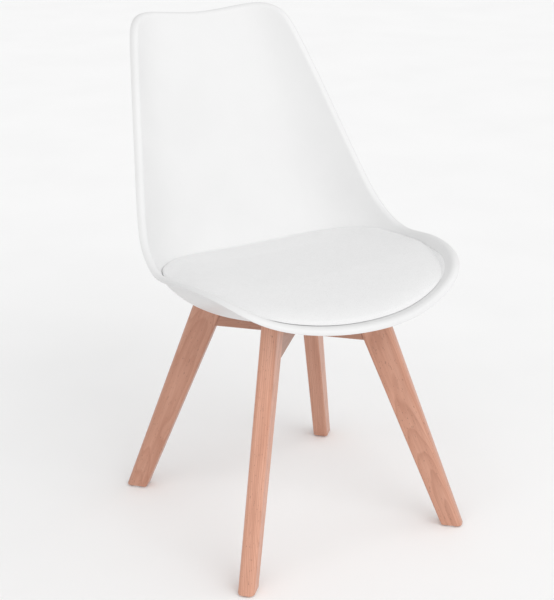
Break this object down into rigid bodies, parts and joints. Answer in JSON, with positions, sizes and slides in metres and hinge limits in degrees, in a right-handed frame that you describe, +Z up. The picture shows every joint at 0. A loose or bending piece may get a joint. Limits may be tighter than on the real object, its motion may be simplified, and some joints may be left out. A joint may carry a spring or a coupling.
{
  "type": "dining chair",
  "caption": "Moulded plastic bucket chair with a padded seat, fixed by bosses to a half-lapped cross of beech bars with splayed tapered legs",
  "frame": {"origin": "on the floor, under the middle of the overall width and depth; Z is zero at the underside of the foot glides", "axes": "+Z up, the sitter faces -Y, +X is the sitter's left"},
  "size_m": [0.4664, 0.551, 0.8206],
  "materials": {
    "shell_plastic": "satin",
    "pad_leatherette": "fine grain, satin",
    "pad_foam": "open-cell foam",
    "pad_plywood": "raw plywood",
    "beech": "satin lacquer",
    "zinc_steel": "zinc plated",
    "insert_brass": "plain",
    "black_rubber": "matt",
    "glide_plastic": "satin"
  },
  "bodies": {
    "root": {"seat_shell": "shell_plastic", "threaded_inserts": "insert_brass", "cushion_cover": "pad_leatherette", "cushion_foam": "pad_foam", "cushion_board": "pad_plywood", "cushion_tee_nuts": "zinc_steel", "cushion_screws": "zinc_steel", "cushion_staples": "zinc_steel", "lower_crossbar": "beech", "upper_crossbar": "beech", "front_right_leg": "beech", "front_left_leg": "beech", "rear_left_leg": "beech", "rear_right_leg": "beech", "leg_dowels": "beech", "centre_screw": "zinc_steel", "shell_bolts": "zinc_steel", "shell_bolt_washers": "zinc_steel", "rubber_pads": "black_rubber", "foot_glides": "glide_plastic", "glide_nails": "zinc_steel"}
  },
  "joints": []
}
